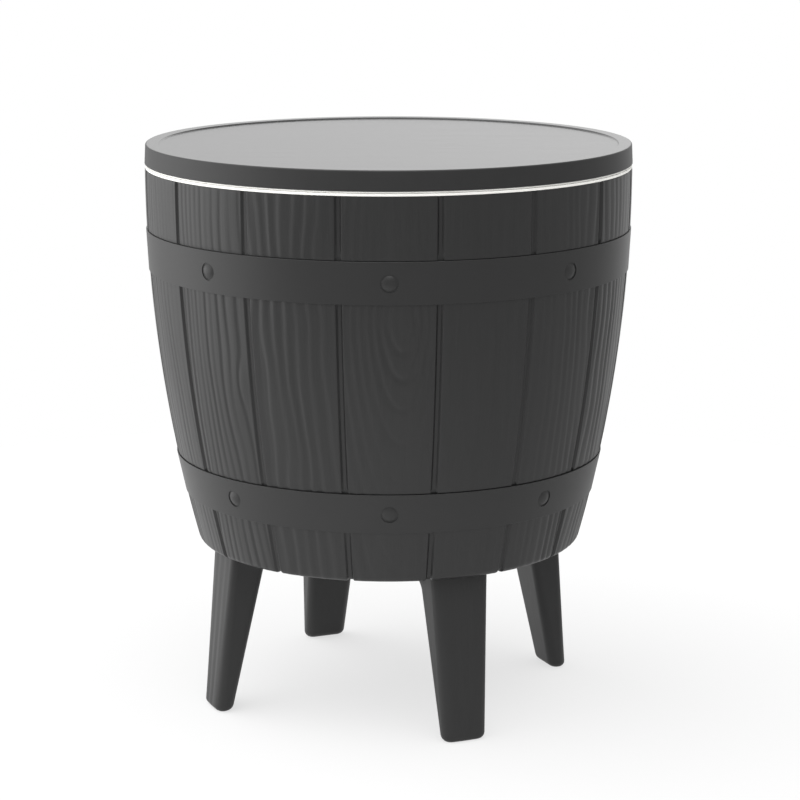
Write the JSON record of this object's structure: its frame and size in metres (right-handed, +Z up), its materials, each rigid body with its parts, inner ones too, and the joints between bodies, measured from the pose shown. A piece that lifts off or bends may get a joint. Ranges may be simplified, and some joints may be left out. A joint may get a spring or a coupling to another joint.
{
  "type": "cooler table",
  "caption": "Barrel-shaped side table with a drinks-cooler bucket: staved, hooped body on splayed legs; the round top lifts on a centre pole and twists to lock.",
  "frame": {"origin": "centre of the footprint on the floor, on the barrel's axis", "axes": "+Z up along the barrel's axis; the legs stand at 45 degrees between the X and Y axes; the drain is on the +Y side"},
  "size_m": [0.495, 0.495, 0.5775],
  "materials": {
    "charcoal_resin": "fine wood-grain texture on staves and legs, smooth hoops, satin",
    "white_resin": "smooth, satin",
    "grey_resin": "smooth, satin",
    "steel": "plain zinc-plated",
    "rubber": "matt"
  },
  "bodies": {
    "base": {"barrel_shell": "charcoal_resin", "bucket_liner": "white_resin", "drain_nut": "white_resin", "drain_spout": "white_resin", "guide_sleeve": "white_resin", "leg_1": "charcoal_resin", "leg_1_screw_a": "steel", "leg_1_screw_b": "steel", "leg_2": "charcoal_resin", "leg_2_screw_a": "steel", "leg_2_screw_b": "steel", "leg_3": "charcoal_resin", "leg_3_screw_a": "steel", "leg_3_screw_b": "steel", "leg_4": "charcoal_resin", "leg_4_screw_a": "steel", "leg_4_screw_b": "steel", "lower_hoop": "charcoal_resin", "lower_rivet_1": "charcoal_resin", "lower_rivet_2": "charcoal_resin", "lower_rivet_3": "charcoal_resin", "lower_rivet_4": "charcoal_resin", "lower_rivet_5": "charcoal_resin", "lower_rivet_6": "charcoal_resin", "lower_rivet_7": "charcoal_resin", "lower_rivet_8": "charcoal_resin", "sleeve_collar": "grey_resin", "upper_hoop": "charcoal_resin", "upper_rivet_1": "charcoal_resin", "upper_rivet_2": "charcoal_resin", "upper_rivet_3": "charcoal_resin", "upper_rivet_4": "charcoal_resin", "upper_rivet_5": "charcoal_resin", "upper_rivet_6": "charcoal_resin", "upper_rivet_7": "charcoal_resin", "upper_rivet_8": "charcoal_resin"},
    "clamp": {"clamp_bush": "white_resin"},
    "top": {"table_top": "charcoal_resin", "top_underside": "white_resin", "pole_head": "grey_resin", "head_screw_1": "steel", "head_screw_2": "steel", "head_screw_3": "steel", "head_screw_4": "steel", "lift_pole": "grey_resin", "head_pin": "steel", "pole_foot": "grey_resin", "foot_pin": "steel"},
    "seal": {"drain_seal": "rubber"},
    "cap": {"drain_cap": "white_resin"}
  },
  "joints": [
    {"name": "top_lift", "type": "slide", "parent": "base", "child": "clamp", "axis": [0, 0, 1], "range_m": [0, 0.25]},
    {"name": "top_twist", "type": "hinge", "parent": "clamp", "child": "top", "pos_m": [0, 0, 0.22], "axis": [0, 0, -1], "range_deg": [0, 35]},
    {"name": "drain_travel", "type": "slide", "parent": "base", "child": "seal", "axis": [0, 0, -1], "range_m": [0, 0.008]},
    {"name": "drain_turn", "type": "hinge", "parent": "seal", "child": "cap", "pos_m": [0, 0.11, 0.15], "axis": [0, 0, -1], "range_deg": [0, 720]}
  ],
  "couplings": [
    {"joint": "drain_turn", "follows": "drain_travel", "rad_per_m": 1570.8}
  ]
}
